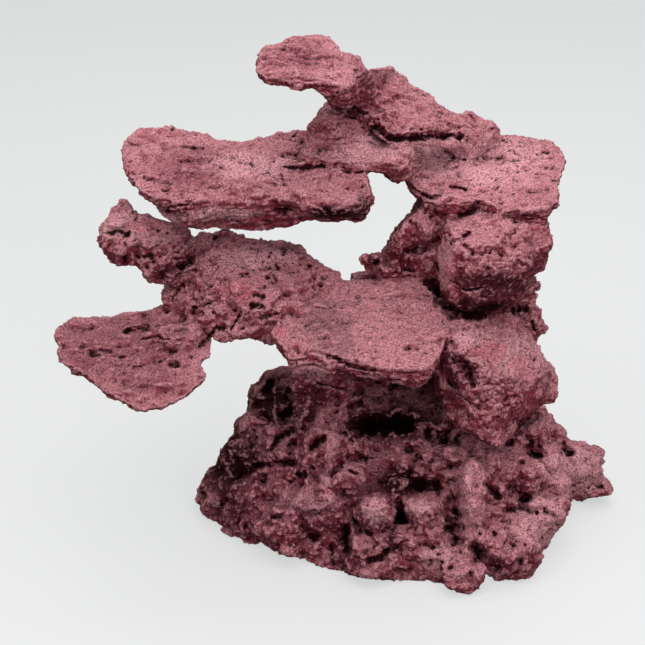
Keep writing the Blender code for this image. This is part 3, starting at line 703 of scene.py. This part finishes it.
def weather_fine(mesh, away):
    points, normals = points_of(mesh), normals_of(mesh)
    height, bed = settings_at(away)
    broad = smoothed(points, edges_of(mesh), 3)
    topward = (normals * bed).sum(axis=1)
    lip = 1 - smooth_step(np.abs(topward), 0.4, 0.85)
    flat = smooth_step(topward, 0.6, 0.9)
    bent = warp(points, 5, 1.5, 31)
    nearest, second, _ = cells(bent, BUD_MM, 2)
    bud = (0.5 - nearest) + 0.5 * smooth_step(second - nearest, 0, 0.3)
    hole, _, lot = cells(warp(points, 6, 2.4, 41), PORE_MM, 3)
    pore = (1 - smooth_step(hole, 0.12, 0.36)) * smooth_step(lot, 0.7, 0.85)
    rolling = 3.0 * rough_clouds(broad, ROLL_MM, 12, 3)
    along = np.column_stack(((points * bed).sum(axis=1), bent[:, 0] * 0.12, bent[:, 1] * 0.12))
    layers = np.abs(clouds(along, LAYER_MM, 5)) + 0.5 * np.abs(clouds(along, LAYER_MM / 2, 15))
    fine, coarse = GRAIN_SIZES_MM
    grain = 0.6 * clouds(points, fine, 6) + 0.9 * np.abs(clouds(points, coarse, 9)) - 0.3
    lines = 1 - smooth_step(np.abs(clouds(warp(points, 8, 2.0, 51), GROOVE_MM, 8)), 0.0, 0.2)
    groove = lines * smooth_step(clouds(points, 24, 19), -0.15, 0.35)
    relief = height["bud"] * bud * (1 - 0.6 * flat) - height["pore"] * pore * (1 - 0.45 * flat)
    relief += height["terrace"] * flat * (terraced(rolling, STEP_MM) - 0.3)
    relief += height["layer"] * lip * (0.7 - 2 * layers)
    relief += height["grain"] * grain - height["groove"] * groove
    points = points + normals * relief[:, None] * MM
    _, wide_pressed = press_marks(points, WIDE_MARKS)
    points, thin_pressed = press_marks(points, THIN_MARKS)
    move_points(mesh, points)
    return thin_pressed + wide_pressed


near_rocks = distances(points_of(stone))
pressed = weather_fine(stone, near_rocks)

# %% [markdown]
# ## How deep each point lies
# The material paints shade into a hollow, over crust that is darker there, and a paler highlight
# with wear onto a ridge. A strongly smoothed copy of the points tells the two apart: a point below
# the smooth surface lies in a hollow. The answer is kept on the mesh as an attribute, which the
# material reads.

# %% Hollows and patches as attributes


def depth_below(points, normals, edges, passes):
    return ((smoothed(points, edges, passes, 0.9) - points) * normals).sum(axis=1) / MM


def keep_values(mesh, name, values):
    mesh.attributes.new(name, "FLOAT", "POINT").data.foreach_set("value", values.astype(np.float32))


def facing(points, normals):
    """1 where the stone faces the camera, 0 where it faces away."""
    return smooth_step(-(sight_to(points) * normals).sum(axis=1), -0.2, 0.15)


def patches(points, rows):
    """How strongly each point lies in soft oval patches of the photo."""
    across, down, _ = seen_at(points)
    edge = clouds(points, 12, 51) + 0.5 * clouds(points, 5, 52)
    total = np.zeros(len(points))
    for x, y, wide, tall in rows:
        away = np.hypot((across - x) / wide, (down - y) / tall) + 0.35 * edge
        total = np.maximum(total, 1 - smooth_step(away, 0.5, 1.3))
    return total


# Middle, half width and half height of each patch, in photo pixels
PATCHES = {
    "grey": [
        (376, 78, 18, 13), (283, 250, 22, 10), (424, 153, 8, 6), (325, 322, 26, 22), (318, 472, 14, 10),
        (545, 375, 6, 18), (335, 350, 20, 14), (300, 505, 30, 12),
    ],
    "mauve": [
        (115, 350, 80, 36), (300, 57, 36, 14), (185, 168, 40, 22), (285, 470, 40, 30), (380, 500, 50, 40),
        (260, 515, 50, 26), (376, 78, 16, 12), (535, 252, 14, 16), (150, 385, 40, 12),
    ],
    # wine red patches: darker crust, and painted shade in the cave, the gaps and the flanks under
    # overhangs
    "wine": [
        (168, 272, 18, 10), (465, 372, 12, 12), (385, 425, 45, 24), (280, 209, 10, 6), (332, 212, 24, 7),
        (275, 405, 24, 26), (228, 470, 36, 46), (500, 284, 38, 14), (392, 260, 22, 12),
        (310, 395, 18, 14), (400, 480, 30, 18), (340, 540, 10, 24), (360, 212, 14, 12),
        (355, 560, 22, 10), (390, 545, 12, 18), (520, 216, 22, 4),
    ],
    # Painted light: pale patches where the stone lies in shade under ledges and lips, and on the lit
    # column of the foot
    "painted_light": [
        (473, 505, 13, 36), (575, 468, 36, 24), (362, 149, 34, 16), (140, 226, 38, 20), (250, 165, 45, 14),
        (255, 257, 40, 12), (524, 356, 30, 26), (450, 150, 50, 12), (485, 162, 66, 26), (220, 214, 40, 6),
        (310, 370, 20, 6), (150, 222, 30, 14), (375, 512, 12, 14), (417, 508, 14, 9), (540, 520, 26, 26),
        (437, 556, 16, 10), (478, 340, 24, 10), (445, 265, 10, 22), (470, 510, 12, 30), (524, 364, 16, 14),
    ],
    "rosy": [
        (524, 366, 16, 14), (473, 505, 10, 34), (450, 268, 8, 12), (494, 554, 8, 5), (277, 332, 9, 9),
        (235, 290, 20, 12), (490, 350, 20, 12), (150, 225, 20, 10),
    ],
    # Painted shade: dark patches in the cave, the gaps under rocks and the flanks under overhangs
    "dark": [
        (232, 457, 34, 26), (268, 400, 18, 22), (385, 425, 56, 13), (335, 214, 26, 6), (362, 205, 8, 14),
        (475, 306, 40, 6), (440, 300, 8, 10), (400, 484, 24, 12), (342, 112, 18, 5), (302, 415, 16, 8),
    ],
}


# smoothing passes that level out the pores, and those that level out the caves
PORE_PASSES, CAVE_PASSES = 2, 14


def keep_looks(mesh, away, pressed):
    points, normals, edges = points_of(mesh), normals_of(mesh), edges_of(mesh)
    in_pore = depth_below(points, normals, edges, PORE_PASSES)
    in_cave = depth_below(points, normals, edges, CAVE_PASSES)
    # the hollow depth becomes painted shade in the crust material, and above the smooth surface a painted
    # highlight
    keep_values(mesh, "hollow", 0.75 * in_pore + 0.35 * in_cave + 0.09 * pressed)
    seen = facing(points, smoothed(normals, edges, 6))
    for key, rows in PATCHES.items():
        keep_values(mesh, key, patches(points, rows) * seen)
    weight = np.exp(-away / 4)
    foot = weight[:, NAMES.index("base_rock")] / weight.sum(axis=1)
    keep_values(mesh, "foot", foot)


keep_looks(stone, near_rocks, pressed)

# %% [markdown]
# ## Sharing the skin out
# Every square goes to the rock nearest to it. Islands of one rock inside another are handed to the
# rock round them, until each rock is one connected patch of skin.

# %% Labels for the squares
CRUMB = 1500


def square_pairs(mesh):
    """The two squares on each edge of a closed skin, as rows of two face numbers."""
    edge = np.empty(len(mesh.loops), np.int32)
    mesh.loops.foreach_get("edge_index", edge)
    face = np.repeat(np.arange(len(mesh.polygons)), 4)
    return face[np.argsort(edge, kind="stable")].reshape(-1, 2)


def connected(count, pairs):
    """A label for each member, the same for all members that pairs connect."""
    label = np.arange(count)
    while True:
        lower = np.minimum(label[pairs[:, 0]], label[pairs[:, 1]])
        following = label.copy()
        np.minimum.at(following, pairs[:, 0], lower)
        np.minimum.at(following, pairs[:, 1], lower)
        following = following[following]
        if (following == label).all():
            return label
        label = following


def shared_out(mesh, away):
    """The number of the rock that each square goes to, or -1 for a loose crumb."""
    corners = np.empty(len(mesh.loops), np.int32)
    mesh.loops.foreach_get("vertex_index", corners)
    middle = smoothed(away, edges_of(mesh), 6)[corners.reshape(-1, 4)].mean(axis=1)
    owner = middle.argmin(axis=1)
    pairs = square_pairs(mesh)
    body = connected(len(owner), pairs)
    crumb = np.bincount(body, minlength=len(owner))[body] < CRUMB
    same = pairs[owner[pairs[:, 0]] == owner[pairs[:, 1]]]
    island = connected(len(owner), same)
    size = np.bincount(island, minlength=len(owner))
    for number in range(len(NAMES)):
        mine = np.nonzero(owner == number)[0]
        main = island[mine][size[island[mine]].argmax()]
        owner[mine[island[mine] != main]] = -1
    owner[crumb] = -2
    while (owner == -1).any():
        for here, there in ((0, 1), (1, 0)):
            open_now = owner[pairs[:, here]] == -1
            given = owner[pairs[open_now, there]]
            owner[pairs[open_now, here][given >= 0]] = given[given >= 0]
    return owner


owners = shared_out(stone, near_rocks)
print({name: int((owners == i).sum()) for i, name in enumerate(NAMES)})

# %% [markdown]
# ## The crust
# Coralline crust is a thin, chalky, matt coat. It is pale rose on upward faces, partly sand and partly
# painted light from above, and wine red on steep faces, partly painted shade. Deep in the pores and
# hollows it is nearly black-red: darker crust under painted shade. Ridges get a painted highlight with
# wear. Fine sand grains break it up.

# %% Colours and one node helper


def from_hex(text):
    """An sRGB hex colour as linear values."""
    parts = [int(text[i : i + 2], 16) / 255 for i in (0, 2, 4)]
    return tuple(p / 12.92 if p <= 0.04045 else ((p + 0.055) / 1.055) ** 2.4 for p in parts) + (1,)


def add(tree, kind, output=0, settings=(), **inputs):
    """Add a node and return one of its outputs. Settings are its own properties, as a dict. Inputs
    are sockets by name, or by number as i0 and so on, each a value or the output that feeds it."""
    node = tree.nodes.new("ShaderNode" + kind)
    for key, value in dict(settings).items():
        setattr(node, key, value)
    for key, value in inputs.items():
        socket = node.inputs[int(key[1:]) if key[1:].isdigit() else key]
        if isinstance(value, bpy.types.NodeSocket):
            tree.links.new(value, socket)
        else:
            socket.default_value = value
    return node.outputs[output]


# %% The crust material
MOTTLE_MM, PATCH_MM, SAND_MM, GRAIN_MM = 11.0, 48.0, 1.2, 2.3
# the pale rose goes on upward faces as painted light from above, partly sand; the body red stays on steep
# and downward faces as painted shade; the near-black red is painted shade in hollows and pits, over darker
# crust
PALE, BODY, DEEP_SHADE_AND_CRUST = "CC8890", "8C3844", "1C0407"
CREST_HIGHLIGHT_AND_WEAR, MAUVE = "DE9BA3", "74323F"
# the tint and the strength of each kind of patch, in the order they are laid on
TINTS = {
    "grey": ("6E4A52", 0.5),
    "mauve": (MAUVE, 0.5),
    # darker wine crust with painted shade
    "wine": ("481019", 0.8),
    # painted light
    "painted_light": ("E8A6AE", 0.85),
    "rosy": ("D87684", 0.55),
    # painted shade
    "dark": ("26070C", 0.8),
}
MIX = {"data_type": "RGBA"}
SOFT = {"interpolation_type": "SMOOTHSTEP"}


def per_metre(size):
    """The texture scale that gives a pattern this many millimetres wide."""
    return 1 / (size * MM)


def coralline_crust(name):
    """A chalky encrusting coat: no shine, colour broken at three sizes, sand in the bump."""
    material = bpy.data.materials.new(name)
    material.use_nodes = True
    tree = material.node_tree
    shader = tree.nodes["Principled BSDF"]
    place = add(tree, "TexCoord", "Object")
    mottle = add(tree, "TexNoise", Vector=place, Scale=per_metre(MOTTLE_MM), Detail=5.0, Roughness=0.65)
    patch = add(tree, "TexNoise", Vector=place, Scale=per_metre(PATCH_MM), Detail=3.0)
    sand = add(tree, "TexNoise", Vector=place, Scale=per_metre(SAND_MM), Detail=2.0, Roughness=0.8)
    grain = add(tree, "TexVoronoi", Vector=place, Scale=per_metre(GRAIN_MM))
    kept = {key: add(tree, "Attribute", "Fac", {"attribute_name": key})
            for key in ["hollow", "foot", *TINTS]}
    upward = add(tree, "SeparateXYZ", "Z", i0=add(tree, "NewGeometry", "Normal"))

    # Painted light: faces that point up are mixed towards the pale rose, and faces that point sideways or
    # down keep the body red, as light from above falls on them. The pale tops are partly sand too.
    light = add(tree, "MapRange", settings=SOFT, i0=upward, i1=-0.15, i2=1.0)
    spots = add(tree, "MapRange", i0=mottle, i1=0.3, i2=0.7, i3=-0.5, i4=0.5)
    light = add(tree, "Math", i0=light, i1=spots)
    spread = add(tree, "MapRange", i0=patch, i1=0.3, i2=0.7, i3=-0.25, i4=0.25)
    light = add(tree, "Math", settings={"use_clamp": True}, i0=light, i1=spread)
    colour = add(tree, "Mix", 2, MIX, i0=light, i6=from_hex(BODY), i7=from_hex(PALE))
    foot = add(tree, "Math", settings={"operation": "MULTIPLY"}, i0=kept["foot"], i1=0.55)
    colour = add(tree, "Mix", 2, MIX, i0=foot, i6=colour, i7=from_hex(MAUVE))
    for key, (tint, share) in TINTS.items():
        amount = add(tree, "Math", settings={"operation": "MULTIPLY"}, i0=kept[key], i1=share)
        colour = add(tree, "Mix", 2, MIX, i0=amount, i6=colour, i7=from_hex(tint))
    # Painted highlight on ridges, where a point lies above the smooth surface, with paler worn crust
    # there.
    crest_highlight_and_wear = add(tree, "MapRange", settings=SOFT, i0=kept["hollow"], i1=-0.1, i2=-0.8, i4=0.6)
    colour = add(tree, "Mix", 2, MIX, i0=crest_highlight_and_wear, i6=colour, i7=from_hex(CREST_HIGHLIGHT_AND_WEAR))
    speck = add(tree, "MapRange", i0=sand, i1=0.3, i2=0.57, i3=0.18, i4=1.28)
    speck = add(tree, "CombineColor", i0=speck, i1=speck, i2=speck)
    colour = add(tree, "Mix", 2, MIX | {"blend_type": "MULTIPLY"}, i0=1.0, i6=colour, i7=speck)
    # Dark dots at the pits of the grain bump: painted shade in the pits, with dark specks of the crust.
    pit_shade_and_speck = add(tree, "MapRange", settings=SOFT, i0=grain, i1=0.42, i2=0.12)
    where = add(tree, "MapRange", i0=mottle, i1=0.42, i2=0.62, i4=0.85)
    pit_shade_and_speck = add(tree, "Math", settings={"operation": "MULTIPLY"}, i0=pit_shade_and_speck, i1=where)
    colour = add(tree, "Mix", 2, MIX, i0=pit_shade_and_speck, i6=colour, i7=from_hex(DEEP_SHADE_AND_CRUST))
    # Painted shade: the deeper a point lies in a hollow, the more its colour goes to the near-black red,
    # over crust that is darker there.
    shade = add(tree, "MapRange", settings=SOFT, i0=kept["hollow"], i1=0.05, i2=1.1, i4=0.95)
    colour = add(tree, "Mix", 2, MIX, i0=shade, i6=colour, i7=from_hex(DEEP_SHADE_AND_CRUST))
    tree.links.new(colour, shader.inputs["Base Color"])

    relief = add(tree, "Math", settings={"operation": "MULTIPLY_ADD"}, i0=grain, i1=0.25, i2=sand)
    bump = add(tree, "Bump", Strength=1.0, Distance=2.6 * MM, Height=relief)
    tree.links.new(bump, shader.inputs["Normal"])
    shader.inputs["Roughness"].default_value = 0.95
    shader.inputs["IOR"].default_value = 1.5
    shader.inputs["Specular IOR Level"].default_value = 0.05
    return material


# %% [markdown]
# ## Make every rock
# The skin is cut up by material, one for each rock. The cut edge of each patch is then capped, so
# that every rock is a closed body whose hidden side is plain.

# %% Cut the skin up
MOST_TRIANGLES = 190000


def cut_up(mesh, owner):
    for name in NAMES:
        mesh.materials.append(coralline_crust(name + "_crust"))
    mesh.polygons.foreach_set("material_index", np.maximum(owner, 0).astype(np.int32))
    if (owner < 0).any():
        bm = bmesh.new()
        bm.from_mesh(mesh)
        bm.faces.ensure_lookup_table()
        loose = [bm.faces[i] for i in np.nonzero(owner < 0)[0]]
        bmesh.ops.delete(bm, geom=loose, context="FACES")
        bm.to_mesh(mesh)
        bm.free()
    whole = bpy.data.objects.new("whole", mesh)
    bpy.context.scene.collection.objects.link(whole)
    bpy.context.view_layer.objects.active = whole
    whole.select_set(True)
    bpy.ops.object.mode_set(mode="EDIT")
    bpy.ops.mesh.select_all(action="SELECT")
    bpy.ops.mesh.separate(type="MATERIAL")
    bpy.ops.object.mode_set(mode="OBJECT")
    return [thing for thing in bpy.context.scene.objects if thing.name.startswith("whole")]


def fan_over(bm):
    """Close each loop that is still open with a fan of triangles round its middle."""
    waiting = dict.fromkeys(edge for edge in bm.edges if edge.is_boundary)
    while waiting:
        loop, reached = [], [waiting.popitem()[0]]
        while reached:
            edge = reached.pop()
            loop.append(edge)
            for near in [near for vert in edge.verts for near in vert.link_edges if near in waiting]:
                del waiting[near]
                reached.append(near)
        corners = [vert.co for edge in loop for vert in edge.verts]
        middle = bm.verts.new(sum(corners, Vector()) / len(corners))
        for edge in loop:
            corner = edge.link_loops[0]
            face = bm.faces.new((corner.link_loop_next.vert, corner.vert, middle))
            face.smooth = False


def cap(mesh):
    """Close the cut edges with flat-shaded faces. Returns how many edges are still open."""
    bm = bmesh.new()
    bm.from_mesh(mesh)
    for face in bm.faces:
        face.smooth = True
    edges = [edge for edge in bm.edges if edge.is_boundary]
    caps = bmesh.ops.holes_fill(bm, edges=edges, sides=0)["faces"]
    for face in caps:
        face.smooth = False
    bmesh.ops.triangulate(bm, faces=caps)
    fan_over(bm)
    still_open = sum(edge.is_boundary for edge in bm.edges)
    bm.to_mesh(mesh)
    bm.free()
    return still_open


def thin_out(rock):
    """Collapse the flattest squares of a rock that is over the limit."""
    triangles = sum(len(face.vertices) - 2 for face in rock.data.polygons)
    if triangles <= MOST_TRIANGLES:
        return
    modifier = rock.modifiers.new("thin_out", "DECIMATE")
    modifier.ratio = MOST_TRIANGLES / triangles
    bpy.context.view_layer.update()
    graph = bpy.context.evaluated_depsgraph_get()
    thinned = bpy.data.meshes.new_from_object(rock.evaluated_get(graph), depsgraph=graph)
    rock.modifiers.clear()
    rock.data = thinned


total = 0
for rock in cut_up(stone, owners):
    name = rock.data.materials[0].name.removesuffix("_crust")
    rock.name = name + "_weathered"
    still_open = cap(rock.data)
    thin_out(rock)
    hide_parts(name)
    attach(rock, "root")
    triangles = sum(len(face.vertices) - 2 for face in rock.data.polygons)
    total += triangles
    print(name, triangles, "triangles,", still_open, "open edges")
print("all rocks:", total, "triangles")

# %% [markdown]
# ## Studio
# A pale sweep stands in for the table: a floor that curves up all round, so that no edge shows from
# any side. The light is a large soft box above, two small ones in front and at the left, and a dim,
# even room. The sweep doesn't light the stone, because the photographed table hardly does.

# %% The sweep
SWEEP_RADIUS, SWEEP_CURVE = 3.2, 1.2


def sweep():
    bm = bmesh.new()
    bmesh.ops.create_circle(bm, cap_ends=True, segments=96, radius=SWEEP_RADIUS)
    rim = [edge for edge in bm.edges if edge.is_boundary]
    for i in range(12):
        angle = math.pi / 2 * (i + 1) / 12
        out = SWEEP_RADIUS + SWEEP_CURVE * math.sin(angle)
        height = SWEEP_CURVE * (1 - math.cos(angle))
        grown = bmesh.ops.extrude_edge_only(bm, edges=rim)["geom"]
        verts = [part for part in grown if isinstance(part, bmesh.types.BMVert)]
        rim = [part for part in grown if isinstance(part, bmesh.types.BMEdge)]
        for vert in verts:
            flat = Vector((vert.co.x, vert.co.y)).normalized() * out
            vert.co = (flat.x, flat.y, height)
    bmesh.ops.recalc_face_normals(bm, faces=bm.faces)
    mesh = bpy.data.meshes.new("sweep")
    bm.to_mesh(mesh)
    bm.free()
    mesh.shade_smooth()
    return bpy.data.objects.new("sweep", mesh)


floor = sweep()
bpy.context.scene.collection.objects.link(floor)
paper = bpy.data.materials.new("pale_sweep")
paper.use_nodes = True
paper_shader = paper.node_tree.nodes["Principled BSDF"]
paper_shader.inputs["Base Color"].default_value = from_hex("7F7F7E")
paper_shader.inputs["Roughness"].default_value = 0.45
paper_shader.inputs["Emission Color"].default_value = from_hex("FBFDFD")
paper_shader.inputs["Emission Strength"].default_value = 0.58
floor.data.materials.append(paper)
floor.visible_diffuse = False
floor.visible_shadow = False

# %% Light


def soft_box(name, place, aim, size, watts):
    light = bpy.data.lights.new(name, "AREA")
    light.shape = "RECTANGLE"
    light.size, light.size_y = size
    light.energy = watts
    thing = bpy.data.objects.new(name, light)
    thing.location = place
    thing.rotation_euler = (Vector(aim) - Vector(place)).to_track_quat("-Z", "Y").to_euler()
    bpy.context.scene.collection.objects.link(thing)
    return thing


soft_box("top_box", (0.1, 0.0, 1.35), (0, 0, 0.15), (2.4, 2.0), 34)
soft_box("left_fill", (-1.5, -0.9, 1.0), (0, 0, 0.15), (1.0, 1.0), 9)
soft_box("front_fill", (0.9, -1.8, 0.75), (0, 0, 0.12), (1.4, 1.0), 20)

world = bpy.data.worlds.new("room")
world.use_nodes = True
world.node_tree.nodes["Background"].inputs["Color"].default_value = from_hex("F4F6F8")
world.node_tree.nodes["Background"].inputs["Strength"].default_value = 0.09
bpy.context.scene.world = world
bpy.context.scene.view_settings.view_transform = "Standard"
